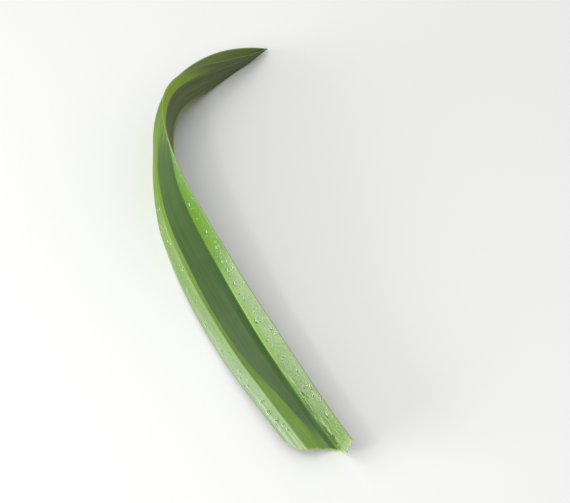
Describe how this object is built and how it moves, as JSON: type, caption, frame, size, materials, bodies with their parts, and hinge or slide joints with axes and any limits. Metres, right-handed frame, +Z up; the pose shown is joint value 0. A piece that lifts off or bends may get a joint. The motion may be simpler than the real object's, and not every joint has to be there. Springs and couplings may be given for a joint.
{
  "type": "pandan leaf",
  "caption": "Single cut pandan leaf: a long green strap folded along its midrib, with a pleat beside it, curling over to an acute tip.",
  "frame": {"origin": "middle of the underside of the leaf's box, on the surface that the leaf lies on", "axes": "+Z up, +Y the way the leaf runs from its cut foot to its curled tip, +X to the right of that"},
  "size_m": [0.1292, 0.3522, 0.0502],
  "materials": {
    "leaf_green": "waxy satin, finely ribbed along its length"
  },
  "bodies": {
    "root": {"leaf_blade": "leaf_green"}
  },
  "joints": []
}
